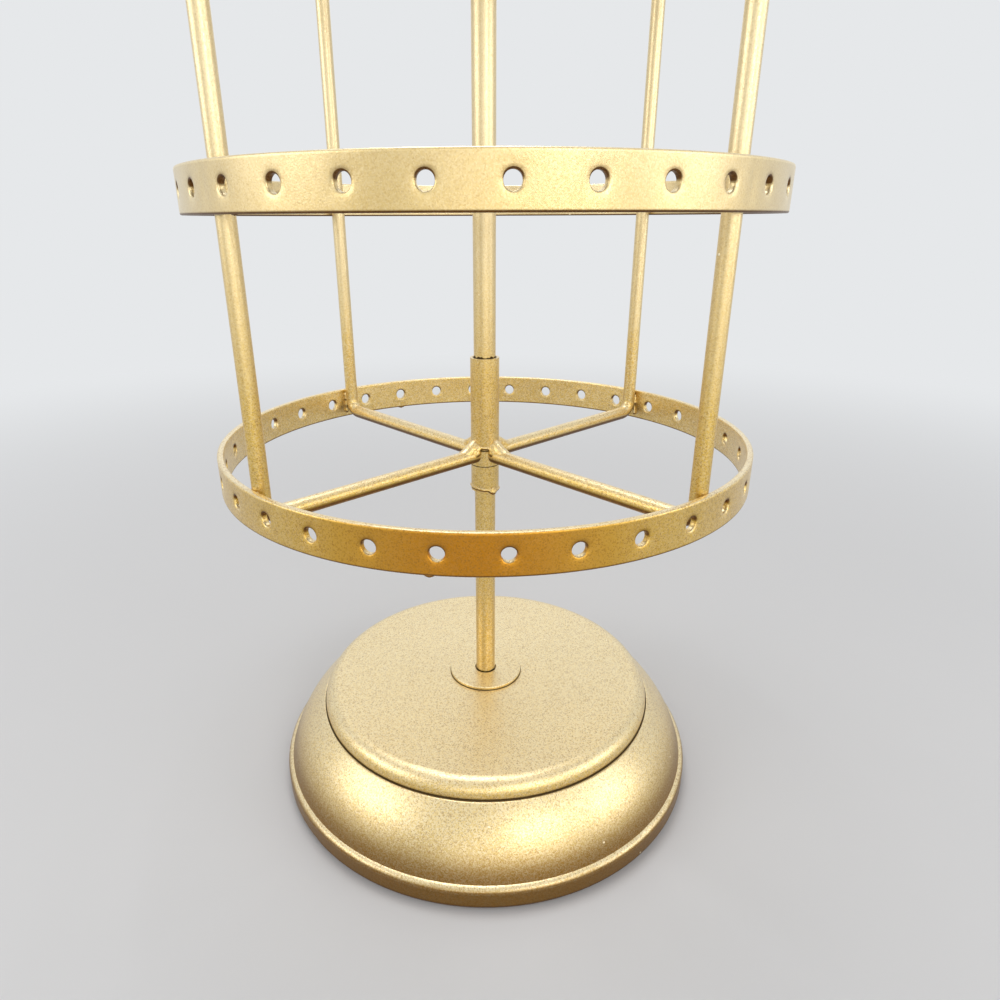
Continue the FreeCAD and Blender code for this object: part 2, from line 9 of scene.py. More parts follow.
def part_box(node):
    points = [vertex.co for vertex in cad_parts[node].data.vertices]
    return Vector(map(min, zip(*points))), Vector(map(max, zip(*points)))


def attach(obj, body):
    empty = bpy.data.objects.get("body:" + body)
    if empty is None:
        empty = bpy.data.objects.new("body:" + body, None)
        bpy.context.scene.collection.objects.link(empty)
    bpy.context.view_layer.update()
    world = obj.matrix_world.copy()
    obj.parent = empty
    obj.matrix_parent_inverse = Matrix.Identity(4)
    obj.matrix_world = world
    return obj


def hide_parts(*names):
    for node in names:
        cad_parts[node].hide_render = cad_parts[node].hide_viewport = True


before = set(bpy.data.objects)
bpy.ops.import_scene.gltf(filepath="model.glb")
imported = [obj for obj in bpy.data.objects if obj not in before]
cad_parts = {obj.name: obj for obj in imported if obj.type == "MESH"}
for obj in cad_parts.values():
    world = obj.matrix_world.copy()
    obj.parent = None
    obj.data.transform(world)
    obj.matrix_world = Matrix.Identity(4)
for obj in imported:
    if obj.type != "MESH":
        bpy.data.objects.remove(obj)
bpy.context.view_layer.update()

MM = 0.001
UP = Vector((0.0, 0.0, 1.0))
# an edge where the surface turns by more than this is a corner
CORNER_ANGLE = math.radians(50)


def measured(name):
    """A round CAD node's outer radius, underside and top, in millimetres.

    Its facets fall a little short of the true round, so each is read to the nearest 0.01 mm.
    """
    low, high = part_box(name)
    return round(high.x / MM, 2), round(low.z / MM, 2), round(high.z / MM, 2)


# the hoops' strip and holes, and the rods, in millimetres
HOLES = 32
HOLE_RADIUS = 2.0
STRIP_THICKNESS = 2.0
ROD_RADIUS = 2.5
ROD_AZIMUTHS = (45, 135, 225, 315)

HOOP_RADIUS, LOW_HOOP_FOOT, LOW_HOOP_TOP = measured("hoop_lower")
STRIP_HEIGHT = LOW_HOOP_TOP - LOW_HOOP_FOOT
HOOP_FEET = {tier: measured(f"hoop_{tier}")[1] for tier in ("lower", "middle", "upper")}
ROD_FOOT, ROD_TOP = measured("rod_back_right")[1:]
LOW_SPOKES = ROD_FOOT + ROD_RADIUS
HIGH_SPOKES = ROD_TOP - ROD_RADIUS
POST_RADIUS = measured("post")[0]
SLEEVE_RADIUS, _, SLEEVE_TOP = measured("lower_hub")
COLLAR_RADIUS, COLLAR_FOOT, COLLAR_TOP = measured("stop_collar")
PLATE_RADIUS, PLATE_FOOT, PLATE_TOP = measured("top_plate")
WASHER_RADIUS, _, WASHER_TOP = measured("flange_washer")

# the backdrop's colour, and how strongly it lights the stand from all round
PALE = "#E6E8EA"
WORLD_LIGHT = 0.35
# the middle of the painted shade at the front of the lowest hoop: a deep orange that stands in for a dark
# reflection
FRONT_SHADE_MIDDLE = Vector((0.0, -HOOP_RADIUS, LOW_HOOP_FOOT + 4.0)) * MM
# how deep an amber is painted on a scale of 0 to 1, by height in thirds of a metre: painted shade, deeper
# towards the bottom
AMBER_SHADE_BY_HEIGHT = ((0.0, 1.0), (0.02, 1.0), (0.09, 1.0), (0.12, 1.0), (0.34, 0.95), (0.46, 0.9),
                  (0.5, 0.5), (0.62, 0.2), (1.0, 0.1))

# the strip is laid out as a grid of this many steps to each hole, and this many up its height
CELL_STEPS = 24
STRIP_STEPS = 16
CELL_WIDTH = math.tau * HOOP_RADIUS * MM / HOLES / CELL_STEPS
CELL_HEIGHT = STRIP_HEIGHT * MM / STRIP_STEPS
# the hole's rim lies this many steps from its centre, and past the second number the grid is plain
RIM_STEPS = 4
CALM_STEPS = 7
# how deep the punch rolled the strip in, the rolling's slow waves and the dimple at a weld, in millimetres
PUNCH_ROLL = 0.08
WAVE_DEPTH = 0.05
DIMPLE_DEPTH = 0.1
DIMPLE_REACH = 1.6
STRIP_ROUNDING = 0.5
# the drops of a spoke's root: distance from the axis, rise over the spoke and size, in millimetres
ROOT_DROPS = ((5.0, 4.5, 1.5), (5.6, 3.7, 1.9), (6.4, 2.9, 2.2), (7.4, 2.0, 2.4),
              (8.6, 1.2, 2.45), (9.8, 0.7, 2.4), (6.0, 0.6, 2.8), (7.6, 0.3, 2.7))
ROOT_SIDE_DROPS = ((5.0, 3.6, 1.2), (5.4, 2.6, 1.5), (5.6, 1.4, 1.6))
# how far round the sleeve the side drops lie from their spoke, in degrees
ROOT_SIDE_TURN = 17
# how wide the random swellings of a weld are, and the wiggles in a dark band's ragged top edge, in
# millimetres
SWELLING_WIDTH = 1.3
RAGGED_EDGE_WIDTH = 0.9
# the dried runs of lacquer: azimuth in degrees, tier and size in millimetres
DRIPS = ((263, "lower", 0.95), (271.5, "lower", 0.55), (232, "middle", 0.6), (118, "lower", 0.8))


# ---------------------------------------------------------------- camera

def make_camera():
    """A phone's wide lens, 15 cm in front of the hoops, that looks down at the base."""
    # the camera stands this far round the post from square on, in radians
    turn = 0.044
    spot = Matrix.Rotation(turn, 3, "Z") @ Vector((-2.508, -242.317, 207.203)) * MM
    yaw = 0.0086 - turn
    pitch = 0.3825
    roll = -0.0037
    ahead = Vector((math.sin(yaw) * math.cos(pitch), math.cos(yaw) * math.cos(pitch), -math.sin(pitch)))
    level = Vector((math.cos(yaw), -math.sin(yaw), 0.0))
    lifted = level.cross(ahead)
    right = level * math.cos(roll) + lifted * math.sin(roll)
    up = lifted * math.cos(roll) - level * math.sin(roll)
    data = bpy.data.cameras.new("studio_camera")
    data.sensor_fit = "HORIZONTAL"
    data.sensor_width = 36.0
    data.lens = 25.388
    data.shift_x = 0.016
    data.shift_y = 0.0023
    data.clip_start = 0.01
    camera = bpy.data.objects.new("studio_camera", data)
    camera.matrix_world = Matrix.Translation(spot) @ Matrix((right, up, -ahead)).transposed().to_4x4()
    bpy.context.scene.collection.objects.link(camera)
    bpy.context.scene.camera = camera


# ---------------------------------------------------------------- node helpers

def colour(code):
    """sRGB hex code to linear red, green, blue and alpha."""
    parts = [int(code[i:i + 2], 16) / 255 for i in (1, 3, 5)]
    linear = [p / 12.92 if p <= 0.04045 else ((p + 0.055) / 1.055) ** 2.4 for p in parts]
    return (*linear, 1.0)


def per_mm(size):
    """Texture scale that gives a pattern of that size in millimetres."""
    return 1000.0 / size


def node(tree, kind, inputs=None, **settings):
    """Add a node; its inputs are plain values or other nodes' outputs."""
    made = tree.nodes.new(kind)
    for name, value in settings.items():
        setattr(made, name, value)
    for name, value in (inputs or {}).items():
        socket = made.inputs[name]
        if isinstance(value, bpy.types.NodeSocket):
            tree.links.new(value, socket)
        else:
            socket.default_value = value
    return made


def reckon(tree, operation, *values, **settings):
    """One step of arithmetic on plain values or other nodes' outputs."""
    return node(tree, "ShaderNodeMath", dict(enumerate(values)), operation=operation, **settings).outputs[0]


def ramp(tree, value, start=0.0, end=1.0, low=0.0, high=1.0, **settings):
    """Carry a value over from the range start to end to the range low to high, and hold it there."""
    inputs = {"Value": value, "From Min": start, "From Max": end, "To Min": low, "To Max": high}
    return node(tree, "ShaderNodeMapRange", inputs, **settings).outputs[0]


def blend(tree, factor, first, second):
    """Mix two colours, each a hex code or another node's output."""
    first, second = (colour(tint) if isinstance(tint, str) else tint for tint in (first, second))
    return node(tree, "ShaderNodeMix", {"Factor": factor, "A": first, "B": second},
                data_type="RGBA").outputs[2]


def mottle(tree, place, size, detail):
    """A soft random pattern of that size in millimetres."""
    return node(tree, "ShaderNodeTexNoise", {
        "Vector": place, "Scale": per_mm(size), "Detail": detail}).outputs["Fac"]


def relief(tree, height, strength, depth, under=None):
    """Bump of that depth in millimetres, over the bump under it if there is one."""
    inputs = {"Height": height, "Strength": strength, "Distance": depth * MM}
    if under is not None:
        inputs["Normal"] = under
    return node(tree, "ShaderNodeBump", inputs).outputs[0]


def start_material(name):
    """An empty material; gives back its tree and the place on the object, in metres, for patterns."""
    material = bpy.data.materials.new(name)
    material.use_nodes = True
    tree = material.node_tree
    tree.nodes.clear()
    place = node(tree, "ShaderNodeTexCoord").outputs["Object"]
    return material, tree, place


def end_in_shader(tree, inputs):
    """End a material's tree in one shader with these inputs."""
    shader = node(tree, "ShaderNodeBsdfPrincipled", inputs)
    node(tree, "ShaderNodeOutputMaterial", {"Surface": shader.outputs[0]})


# ---------------------------------------------------------------- materials

def shade_and_drift_depth(tree, place, height):
    """How deep an amber is painted: deeper lower down as painted shade, with a slow random drift over 30
    mm.
    """
    drift = mottle(tree, place, 30.0, 2.0)
    reach = reckon(tree, "MULTIPLY", height, 3.0)
    height_shade = node(tree, "ShaderNodeFloatCurve", {"Value": reach})
    curve = height_shade.mapping.curves[0]
    curve.points[0].location = AMBER_SHADE_BY_HEIGHT[0]
    curve.points[1].location = AMBER_SHADE_BY_HEIGHT[-1]
    for spot, amount in AMBER_SHADE_BY_HEIGHT[1:-1]:
        curve.points.new(spot, amount)
    height_shade.mapping.update()
    return reckon(tree, "MULTIPLY_ADD", drift, 0.35, height_shade.outputs[0])


def tinted_film(tree, place, height, tilt, depth):
    """The film's colour with its painted light and shade, and how much shade is painted there.

    It runs from cream to amber with a slow drift, deeper lower down as painted shade, and paler on faces
    that look up as painted light. Painted shade makes it dusky brown at the foot of the base, a deep orange
    at the front of the lowest hoop for a dark reflection, and dark on undersides.
    """
    # painted light: faces that look up get a paler film, as if lit from above
    steep = ramp(tree, tilt, 0.85, 0.1, low=0.35)
    deep = reckon(tree, "MULTIPLY", depth, steep)
    film = blend(tree, deep, "#EDDEB6", "#E8C254")

    # faces that look up are kept out of the painted shade below, so they stay pale
    upright = ramp(tree, tilt, 0.9, 0.4)
    away = node(tree, "ShaderNodeVectorMath", {0: place, 1: FRONT_SHADE_MIDDLE},
                operation="DISTANCE").outputs["Value"]
    # painted shade: a wide halo of deeper gold round the front of the lowest hoop, kept off faces that look
    # up
    halo = ramp(tree, away, 120.0 * MM, 40.0 * MM, high=0.8)
    tinge = reckon(tree, "MULTIPLY", halo, upright)
    tinged = blend(tree, tinge, film, "#DDB548")

    # painted shade: the foot of the base is painted dusky brown, for the dark reflection low down
    foot = ramp(tree, height, 27.0 * MM, 9.0 * MM, interpolation_type="SMOOTHSTEP")
    low = reckon(tree, "MULTIPLY", foot, upright)
    dusky = blend(tree, low, tinged, "#825C0C")

    # painted shade: a deep orange at the front of the lowest hoop, for the dark reflection there, kept off
    # faces that look up
    front_shade_reach = ramp(tree, away, 58.0 * MM, 2.0 * MM, interpolation_type="SMOOTHSTEP")
    front_shade = reckon(tree, "MULTIPLY", front_shade_reach, upright)
    rich = blend(tree, front_shade, dusky, "#CA8606")

    # painted shade: faces that look down are painted dark
    under = ramp(tree, tilt, 0.05, -0.3)
    shaded = blend(tree, under, rich, "#5E3A0A")

    # how much shade is painted here; it thins the pale flakes and the clear coat
    most = reckon(tree, "MAXIMUM", front_shade, under)
    toned = reckon(tree, "MAXIMUM", low, tinge)
    shade_share = reckon(tree, "MULTIPLY_ADD", toned, 0.8, most, use_clamp=True)
    return shaded, shade_share


def flaked(tree, film, lot, depth, shade_share):
    """The film and its flakes: pale metal ones painted as glints in the light, brown ones as painted shade.
    """
    pale_share = ramp(tree, depth, 0.2, 1.1, low=0.18, high=0.55)
    glint_left = ramp(tree, shade_share, low=pale_share, high=0.04)
    glint = ramp(tree, lot["Red"], 0.1, 0.9, high=glint_left)
    pale = blend(tree, glint, film, "#F8EED0")
    dark_share = ramp(tree, depth, 0.2, 1.1, low=0.1, high=0.62)
    shade = ramp(tree, lot["Green"], 0.65, 1.0, high=dark_share)
    return blend(tree, shade, pale, "#9C6C22")


def lacquer_relief(tree, place, nib):
    """Orange peel 1.6 mm wide, a 0.4 mm grain from the flakes under it, and the dust nibs."""
    wavy = relief(tree, mottle(tree, place, 1.6, 1.0), 0.2, 0.04)
    grainy = relief(tree, mottle(tree, place, 0.4, 1.0), 0.7, 0.05, wavy)
    return relief(tree, nib, 0.6, 0.15, grainy)


def gold_lacquer():
    """Champagne-gold sprayed lacquer: an amber film full of pale metal flakes, under a satin clear coat.

    It gives the eye a sandy sheen that runs from cream in the light to amber where little light comes.
    Real flakes are about 0.05 mm; they are drawn 0.32 mm wide so that the grain shows. Faces that look up
    are painted paler, as painted light from above. Painted shade deepens the amber from the base up to the
    lower sleeve, paints a deep orange at the front of the lowest hoop, with fewer pale flakes and a weaker
    clear coat there, a dusky brown at the foot of the base and dark undersides. A few dust nibs stand in
    it.
    """
    material, tree, place = start_material("gold_lacquer")
    height = node(tree, "ShaderNodeSeparateXYZ", {"Vector": place}).outputs["Z"]
    normal = node(tree, "ShaderNodeNewGeometry").outputs["Normal"]
    tilt = node(tree, "ShaderNodeSeparateXYZ", {"Vector": normal}).outputs["Z"]
    depth = shade_and_drift_depth(tree, place, height)
    film, shade_share = tinted_film(tree, place, height, tilt, depth)

    flakes = node(tree, "ShaderNodeTexVoronoi", {"Vector": place, "Scale": per_mm(0.32)})
    lot = node(tree, "ShaderNodeSeparateColor", {"Color": flakes.outputs["Color"]}).outputs
    dust = node(tree, "ShaderNodeTexVoronoi", {"Vector": place, "Scale": per_mm(11.0)})
    nib = ramp(tree, dust.outputs["Distance"], 0.04, 0.025)
    end_in_shader(tree, {
        "Base Color": blend(tree, nib, flaked(tree, film, lot, depth, shade_share), "#FFF2CE"),
        "Metallic": ramp(tree, lot["Red"], low=0.8, high=0.97),
        "Roughness": ramp(tree, lot["Blue"], low=0.34, high=0.46),
        # the clear coat is made weaker where shade is painted
        "Coat Weight": ramp(tree, shade_share, low=0.8, high=0.1),
        "Coat Roughness": 0.3,
        "Coat IOR": 1.7,
        "Normal": lacquer_relief(tree, place, nib)})
    return material


def zinc_plate():
    """Bright zinc plate on turned steel: bluish silver with fine rings left by the tool."""
    material, tree, place = start_material("zinc_plate")
    bloom = mottle(tree, place, 3.0, 3.0)
    rings = node(tree, "ShaderNodeTexWave", {"Vector": place, "Scale": per_mm(4.0), "Distortion": 0.4},
                 wave_type="RINGS", rings_direction="Z").outputs["Fac"]
    end_in_shader(tree, {
        "Base Color": blend(tree, bloom, "#B9BEC4", "#D3D5D2"),
        "Metallic": 1.0,
        "Roughness": ramp(tree, bloom, low=0.25, high=0.42),
        "Normal": relief(tree, rings, 0.2, 0.02)})
    return material


def raw_iron():
    """Sand-cast iron, oiled: near-black brown with a coarse 1.2 mm skin, rusty in patches."""
    material, tree, place = start_material("raw_iron")
    skin = mottle(tree, place, 1.2, 4.0)
    rust = ramp(tree, mottle(tree, place, 18.0, 5.0), 0.5, 0.7)
    end_in_shader(tree, {
        "Base Color": blend(tree, rust, "#34322F", "#5B3B28"),
        "Metallic": 0.6,
        "Roughness": ramp(tree, skin, low=0.5, high=0.85),
        "Normal": relief(tree, skin, 0.6, 0.15)})
    return material


def moulded_plastic():
    """Black moulded polypropylene: a matt spark-eroded texture of 0.6 mm grains, scuffed in places."""
    material, tree, place = start_material("moulded_plastic")
    grain = mottle(tree, place, 0.6, 2.0)
    scuff = ramp(tree, mottle(tree, place, 14.0, 6.0), 0.52, 0.75)
    end_in_shader(tree, {
        "Base Color": blend(tree, scuff, "#1B1B1C", "#343435"),
        "Roughness": ramp(tree, scuff, low=0.55, high=0.4),
        "IOR": 1.49,
        "Normal": relief(tree, grain, 0.5, 0.06)})
    return material


def foot_rubber():
    """Black die-cut rubber: dusty grey-black with a dull, slightly pitted face."""
    material, tree, place = start_material("foot_rubber")
    dust = mottle(tree, place, 4.0, 5.0)
    pits = node(tree, "ShaderNodeTexVoronoi", {"Vector": place, "Scale": per_mm(0.9)}).outputs["Distance"]
    end_in_shader(tree, {
        "Base Color": blend(tree, dust, "#161616", "#3A3936"),
        "Roughness": 0.85,
        "IOR": 1.52,
        "Normal": relief(tree, pits, 0.4, 0.1)})
    return material


def dark_band_and_shade():
    """Dark, dull, flecked brown metal, for the dark bands round the post and the painted shade in corners.
    """
    material, tree, place = start_material("dark_band_and_shade")
    grime = mottle(tree, place, 0.8, 3.0)
    end_in_shader(tree, {
        "Base Color": blend(tree, grime, "#2C1F0D", "#5E4822"),
        "Metallic": 0.7,
        "Roughness": ramp(tree, grime, low=0.45, high=0.8),
        "Normal": relief(tree, grime, 0.4, 0.05)})
    return material


# ---------------------------------------------------------------- pieces

def finish_piece(name, shape, material, body, replaced=()):
    """Turn a bmesh into a smooth-shaded piece that rides on a body."""
    bmesh.ops.recalc_face_normals(shape, faces=shape.faces[:])
    mesh = bpy.data.meshes.new(name)
    shape.to_mesh(mesh)
    shape.free()
    mesh.shade_smooth()
    mesh.set_sharp_from_angle(angle=CORNER_ANGLE)
    mesh.materials.append(material)
    piece = bpy.data.objects.new(name, mesh)
    bpy.context.scene.collection.objects.link(piece)
    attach(piece, body)
    if replaced:
        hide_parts(*replaced)


def hole_in_cell(across, along):
    """Move one grid point of a cell, counted in steps from the hole's centre, to open a round hole.

    Gives back the point and how deep the punch has rolled the strip in there, both in metres.
    """
    reach = max(abs(across), abs(along))
    flat = Vector((across * CELL_WIDTH, along * CELL_HEIGHT, 0.0))
    if reach < RIM_STEPS or reach >= CALM_STEPS:
        return flat, 0.0
    round_off = (CALM_STEPS - reach) / (CALM_STEPS - RIM_STEPS)
    ring = Vector((across, along, 0.0)).normalized() * (HOLE_RADIUS * MM + (reach - RIM_STEPS) * CELL_WIDTH)
    return flat.lerp(ring, round_off), PUNCH_ROLL * MM * round_off ** 2


def strip_dent(turn, height, seed):
    """How far the strip lies inside its true round: slow waves of the rolling and a dimple at each weld."""
    wave = 0.5 + 0.5 * noise.noise(Vector((3.0 * math.cos(turn), 3.0 * math.sin(turn), seed)))
    dent = WAVE_DEPTH * MM * wave
    for rod in ROD_AZIMUTHS:
        aside = HOOP_RADIUS * math.remainder(turn - math.radians(rod), math.tau)
        depth = DIMPLE_DEPTH * MM * math.exp(-(aside / DIMPLE_REACH) ** 2)
        dent += depth * (0.6 + 0.4 * math.cos(height / (2.2 * MM)))
    return dent


def strip_hoop(tier, material, seed):
    """A flat strip bent to a hoop, its punched holes rolled in at the rim, dimpled at the welds."""
    shape = bmesh.new()
    steps = HOLES * CELL_STEPS
    middle = (HOOP_FEET[tier] + STRIP_HEIGHT / 2) * MM
    bmesh.ops.create_grid(shape, x_segments=steps, y_segments=STRIP_STEPS, size=0.5)
    bmesh.ops.scale(shape, vec=(steps, STRIP_STEPS, 1.0), verts=shape.verts[:])
    bmesh.ops.translate(shape, vec=(steps / 2, 0.0, 0.0), verts=shape.verts[:])
    punched = [face for face in shape.faces
               if abs(face.calc_center_median().x % CELL_STEPS - CELL_STEPS / 2) < RIM_STEPS
               and abs(face.calc_center_median().y) < RIM_STEPS]
    bmesh.ops.delete(shape, geom=punched, context="FACES")
    for vert in shape.verts:
        cell = min(round(vert.co.x) // CELL_STEPS, HOLES - 1)
        spot, roll = hole_in_cell(round(vert.co.x) - (cell + 0.5) * CELL_STEPS, round(vert.co.y))
        turn = (spot.x / CELL_WIDTH / CELL_STEPS + cell + 0.5) * math.tau / HOLES
        radius = HOOP_RADIUS * MM - roll - strip_dent(turn, spot.y, seed)
        vert.co = (radius * math.cos(turn), radius * math.sin(turn), middle + spot.y)
    bmesh.ops.remove_doubles(shape, verts=shape.verts[:], dist=0.01 * MM)
    inside = bmesh.ops.extrude_face_region(shape, geom=shape.faces[:], use_keep_orig=True)["geom"]
    for vert in [part for part in inside if isinstance(part, bmesh.types.BMVert)]:
        shrink = 1 - STRIP_THICKNESS * MM / math.hypot(vert.co.x, vert.co.y)
        vert.co = (vert.co.x * shrink, vert.co.y * shrink, vert.co.z)
    bmesh.ops.recalc_face_normals(shape, faces=shape.faces[:])
    corners = [edge for edge in shape.edges
               if len(edge.link_faces) == 2 and edge.calc_face_angle() > CORNER_ANGLE]
    bmesh.ops.bevel(shape, geom=corners, offset=STRIP_ROUNDING * MM, segments=3,
                    affect="EDGES", profile=0.5, material=-1)
    finish_piece(f"dressed_hoop_{tier}", shape, material, "cage", [f"hoop_{tier}"])


def blob(shape, spot, size, squash=(1.0, 1.0, 1.0)):
    """One drop of metal: a small ball, squashed, at a spot in millimetres."""
    ball = bmesh.ops.create_icosphere(shape, subdivisions=2, radius=size * MM)["verts"]
    bmesh.ops.scale(shape, vec=squash, verts=ball)
    bmesh.ops.translate(shape, vec=Vector(spot) * MM, verts=ball)


def run_together(shape, grain, swelling, seed):
    """Melt overlapping drops into one skin with small random swellings."""
    mesh = bpy.data.meshes.new("drops")
    shape.to_mesh(mesh)
    shape.free()
    holder = bpy.data.objects.new("drops", mesh)
    bpy.context.scene.collection.objects.link(holder)
    melt = holder.modifiers.new("melt", "REMESH")
    melt.mode = "VOXEL"
    melt.voxel_size = grain * MM
    ease = holder.modifiers.new("ease", "SMOOTH")
    ease.factor = 0.5
    ease.iterations = 8
    graph = bpy.context.evaluated_depsgraph_get()
    melted = bpy.data.meshes.new_from_object(holder.evaluated_get(graph))
    bpy.data.objects.remove(holder)
    skin = bmesh.new()
    skin.from_mesh(melted)
    skin.normal_update()
    for vert in skin.verts:
        swell = noise.noise(vert.co / (SWELLING_WIDTH * MM) + Vector((seed, 0.0, 0.0)))
        vert.co += vert.normal * swell * swelling * MM
    return skin


def clear_of_post(skin, radius):
    """Keep a bead out of the bore, so that the cage still turns."""
    for vert in skin.verts:
        reach = math.hypot(vert.co.x, vert.co.y)
        if reach < radius:
            vert.co.x *= radius / reach
            vert.co.y *= radius / reach


def around(azimuth, radius, height):
    """A point in millimetres from its azimuth in degrees, its radius and its height."""
    turn = math.radians(azimuth)
    return Vector((radius * math.cos(turn), radius * math.sin(turn), height))


def hub_weld(name, spoke_height, lift, material, seed):
    """The bead that joins four spokes to a sleeve: a smooth fat root on each and a thin arch between.

    With a lift of -1 the bead hangs under its spokes.
    """
    shape = bmesh.new()
    dice = random.Random(seed)
    for azimuth in ROD_AZIMUTHS:
        lean = azimuth + dice.uniform(-3, 3)
        for out, rise, size in ROOT_DROPS:
            blob(shape, around(lean, out, spoke_height + lift * rise), size)
        for side in (-1, 1):
            for out, rise, size in ROOT_SIDE_DROPS:
                blob(shape, around(lean + side * ROOT_SIDE_TURN, out, spoke_height + lift * rise), size)
        for step in range(11):
            rise = 2.8 + 0.5 * math.sin(math.pi * step / 10)
            spot = around(azimuth + 12 + step * 6.6, SLEEVE_RADIUS, spoke_height + lift * rise)
            blob(shape, spot, dice.uniform(0.62, 0.74))
    skin = run_together(shape, grain=0.28, swelling=0.04, seed=seed)
    clear_of_post(skin, (SLEEVE_RADIUS - 0.5) * MM)
    finish_piece(name, skin, material, "cage")


def collar_weld(material):
    """The bead that holds the stop collar on the post: uneven, slanting, with one fat drop."""
    shape = bmesh.new()
    dice = random.Random(5)
    for step in range(40):
        azimuth = step * 9
        slant = 0.7 * math.cos(math.radians(azimuth - 200))
        blob(shape, around(azimuth, 4.7, COLLAR_FOOT + 0.7 + slant), dice.uniform(0.7, 0.85))
        blob(shape, around(azimuth, 4.3, COLLAR_FOOT + 0.2 + slant * 0.6), dice.uniform(0.65, 0.8))
    for azimuth, lift, size in ((300, 0.2, 1.0), (309, -0.2, 1.15), (318, 0.1, 0.9), (304, 1.1, 0.9)):
        blob(shape, around(azimuth, 4.9, COLLAR_FOOT + lift), size)
    skin = run_together(shape, grain=0.3, swelling=0.16, seed=9)
    finish_piece("collar_weld", skin, material, "stand")


def hoop_welds(tier, material):
    """The beads in the two corners between each upright and the inside of a hoop."""
    shape = bmesh.new()
    low = HOOP_FEET[tier]
    inside = HOOP_RADIUS - STRIP_THICKNESS - 0.45
    seed = int(low)
    dice = random.Random(seed)
    for azimuth in ROD_AZIMUTHS:
        for side in (-1, 1):
            length = dice.uniform(6.0, 8.5)
            start = dice.uniform(1.2, 3.0)
            for step in range(9):
                spot = around(azimuth, inside, low + start + length * step / 8)
                along = around(azimuth + 90, 1.75 * side + dice.uniform(-0.15, 0.15), 0.0)
                blob(shape, spot + along, dice.uniform(0.55, 0.85), (1.0, 1.0, 1.2))
    skin = run_together(shape, grain=0.3, swelling=0.16, seed=seed)
    finish_piece(f"{tier}_hoop_welds", skin, material, "cage")


def lacquer_drips(material):
    """Runs of lacquer that dried as drops on the lower edge of a hoop."""
    shape = bmesh.new()
    for azimuth, tier, size in DRIPS:
        for step in range(-3, 4):
            height = HOOP_FEET[tier] + 0.45 - size * 0.55 * math.cos(step / 2.6)
            spot = around(azimuth + step * 0.32, HOOP_RADIUS - 1.05, height)
            blob(shape, spot, size * (0.95 - 0.1 * abs(step)), (0.8, 0.8, 1.0))
    skin = run_together(shape, grain=0.22, swelling=0.05, seed=4)
    finish_piece("lacquer_drips", skin, material, "cage")


def dark_band(name, low, high, material, ragged, seed):
    """A dark band round the post beside a neighbouring part, with a ragged top edge."""
    shape = bmesh.new()
    radius = (POST_RADIUS + 0.03) * MM
    bmesh.ops.create_circle(shape, cap_ends=False, segments=96, radius=radius)
    bmesh.ops.translate(shape, vec=(0.0, 0.0, low * MM), verts=shape.verts[:])
    raised = bmesh.ops.extrude_edge_only(shape, edges=shape.edges[:])["geom"]
    for vert in [part for part in raised if isinstance(part, bmesh.types.BMVert)]:
        edge_wiggle = noise.noise(vert.co / (RAGGED_EDGE_WIDTH * MM) + Vector((seed, 0.0, 0.0)))
        vert.co.z = (high + ragged * edge_wiggle) * MM
    bmesh.ops.recalc_face_normals(shape, faces=shape.faces[:])
    bmesh.ops.solidify(shape, geom=shape.faces[:], thickness=0.05 * MM)
    finish_piece(name, shape, material, "stand")


def dark_seam(name, radius, height, material, size, body="stand"):
    """A dark line of painted shade in the corner where one round part lies on another."""
    shape = bmesh.new()
    bmesh.ops.create_circle(shape, cap_ends=False, segments=10, radius=size * MM)
    bmesh.ops.rotate(shape, matrix=Matrix.Rotation(math.radians(90), 3, "X"), verts=shape.verts[:])
    bmesh.ops.translate(shape, vec=Vector((radius, 0.0, height)) * MM, verts=shape.verts[:])
    bmesh.ops.spin(shape, geom=shape.edges[:], axis=UP, angle=math.tau, steps=180, use_merge=True)
    finish_piece(name, shape, material, body)


# ---------------------------------------------------------------- studio

def make_floor():
    """Pale floor that takes the shadow round the stand and fades into the even backdrop on every side."""
    shape = bmesh.new()
    bmesh.ops.create_circle(shape, cap_ends=True, segments=96, radius=3.0)
    mesh = bpy.data.meshes.new("studio_floor")
    shape.to_mesh(mesh)
    shape.free()
    floor = bpy.data.objects.new("studio_floor", mesh)
    bpy.context.scene.collection.objects.link(floor)
    material, tree, place = start_material("studio_floor")
    away = node(tree, "ShaderNodeVectorMath", {0: place}, operation="LENGTH").outputs["Value"]
    far = ramp(tree, away, 0.14, 0.95, interpolation_type="SMOOTHSTEP")
    near = node(tree, "ShaderNodeBsdfDiffuse", {"Color": colour("#DCDCDD")})
    glow = node(tree, "ShaderNodeEmission", {"Color": colour(PALE), "Strength": 1.0})
    both = node(tree, "ShaderNodeMixShader", {"Fac": far, 1: near.outputs[0], 2: glow.outputs[0]})
    node(tree, "ShaderNodeOutputMaterial", {"Surface": both.outputs[0]})
    mesh.materials.append(material)


def make_world():
    """Soft white light from all round; the camera itself sees the plain pale backdrop."""
    world = bpy.data.worlds.new("studio")
    bpy.context.scene.world = world
    world.use_nodes = True
    tree = world.node_tree
    tree.nodes.clear()
    rays = node(tree, "ShaderNodeLightPath").outputs
    shown = reckon(tree, "MAXIMUM", rays["Is Camera Ray"], rays["Is Glossy Ray"])
    light = node(tree, "ShaderNodeBackground", {"Color": (1.0, 1.0, 1.0, 1.0), "Strength": WORLD_LIGHT})
    seen = node(tree, "ShaderNodeBackground", {"Color": colour(PALE), "Strength": 1.0})
    both = node(tree, "ShaderNodeMixShader", {"Fac": shown, 1: light.outputs[0], 2: seen.outputs[0]})
    node(tree, "ShaderNodeOutputWorld", {"Surface": both.outputs[0]})


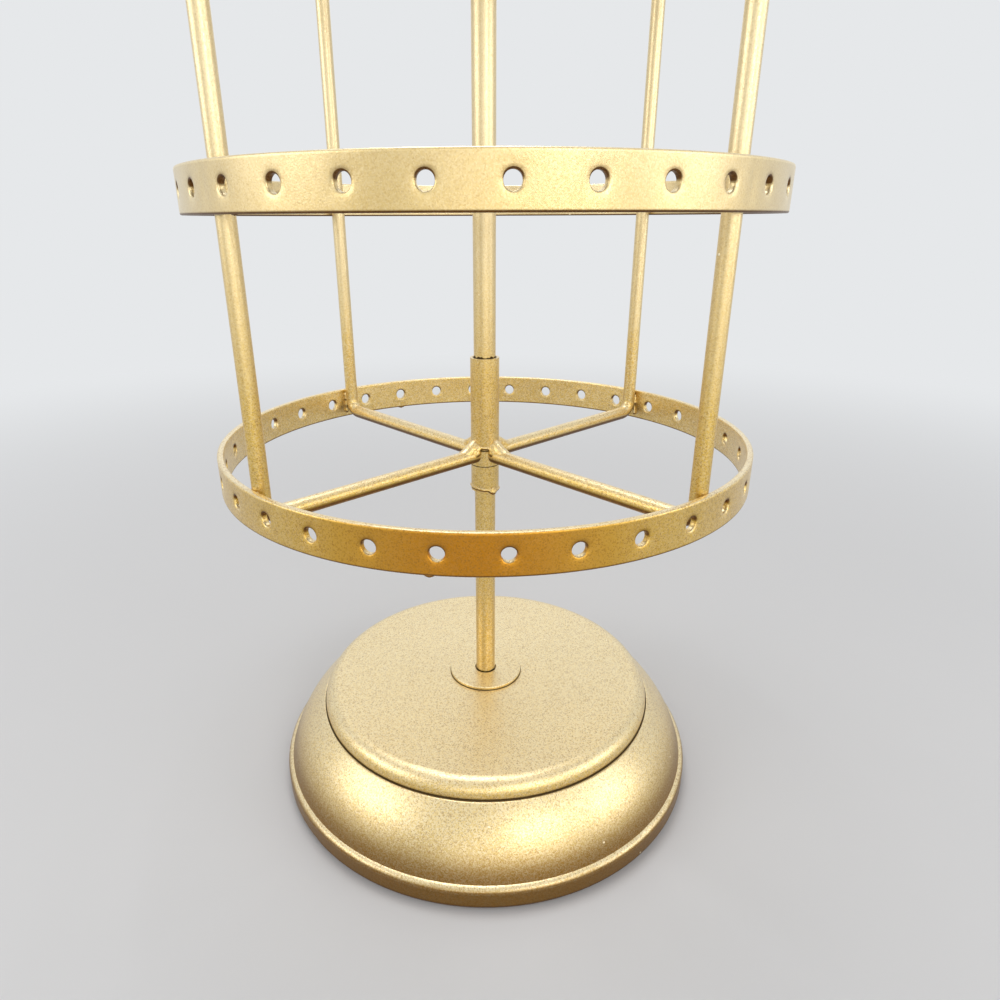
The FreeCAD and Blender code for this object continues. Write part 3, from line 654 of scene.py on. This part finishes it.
def lamp(name, spot, aim, width, height, power):
    """A rectangular soft box aimed at a point; metres and watts."""
    data = bpy.data.lights.new(name, "AREA")
    data.shape = "RECTANGLE"
    data.size = width
    data.size_y = height
    data.energy = power
    made = bpy.data.objects.new(name, data)
    way = Vector(aim) - Vector(spot)
    made.matrix_world = Matrix.Translation(spot) @ way.to_track_quat("-Z", "Y").to_matrix().to_4x4()
    bpy.context.scene.collection.objects.link(made)


bpy.context.scene.view_settings.view_transform = "Standard"
make_camera()
make_world()
make_floor()
lamp("overhead", (-0.1, 0.25, 1.25), (0.0, 0.0, 0.1), width=0.6, height=0.6, power=5.6)
lamp("left_box", (-0.9, -0.42, 0.5), (0.0, 0.0, 0.06), width=0.7, height=0.5, power=2.5)
lamp("right_box", (0.45, -0.85, 0.52), (0.0, 0.0, 0.1), width=0.4, height=0.4, power=1.5)
lamp("front_box", (0.3, -1.2, 0.24), (0.0, 0.0, 0.11), width=1.6, height=0.48, power=2.8)
lamp("back_box", (0.0, 1.1, 0.64), (0.0, 0.0, 0.13), width=1.4, height=0.35, power=0.5)
lamp("side_box", (1.0, -0.35, 0.42), (0.0, 0.0, 0.12), width=0.6, height=0.6, power=2.3)

gold = gold_lacquer()
zinc = zinc_plate()
rubber = foot_rubber()
finishes = {"ballast_plate": raw_iron(), "bottom_cover": moulded_plastic()}
for name in ("nut_washer", "spring_washer", "post_nut"):
    finishes[name] = zinc
for number in (1, 2, 3, 4):
    finishes[f"foot_{number}"] = rubber
for name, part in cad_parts.items():
    part.data.materials.clear()
    part.data.materials.append(finishes.get(name, gold))

for seed, tier in enumerate(HOOP_FEET, start=1):
    strip_hoop(tier, gold, seed)
hub_weld("lower_hub_weld", LOW_SPOKES, 1.0, gold, seed=11)
hub_weld("upper_hub_weld", HIGH_SPOKES, -1.0, gold, seed=12)
collar_weld(gold)
lacquer_drips(gold)
for tier in HOOP_FEET:
    hoop_welds(tier, gold)

# one dark finish for the dark bands round the post and for the painted shade in corners
band_and_shade = dark_band_and_shade()
# dark bands round the post: at the top of the sleeve and at the washer
dark_band("dark_band_sleeve", SLEEVE_TOP - 0.1, SLEEVE_TOP + 0.5, band_and_shade, ragged=0.7, seed=1)
dark_band("dark_band_base", PLATE_TOP - 0.2, WASHER_TOP + 0.2, band_and_shade, ragged=0.0, seed=3)
# painted shade: dark lines in the corners where round parts meet
dark_seam("seam_under_plate", PLATE_RADIUS + 0.1, PLATE_FOOT + 0.12, band_and_shade, size=0.34)
dark_seam("seam_over_collar", COLLAR_RADIUS - 0.14, COLLAR_TOP + 0.1, band_and_shade, size=0.18)
dark_seam("seam_under_weld", SLEEVE_RADIUS, LOW_SPOKES + 2.2, band_and_shade, size=0.26, body="cage")
dark_seam("seam_under_washer", WASHER_RADIUS + 0.05, PLATE_TOP + 0.08, band_and_shade, size=0.16)
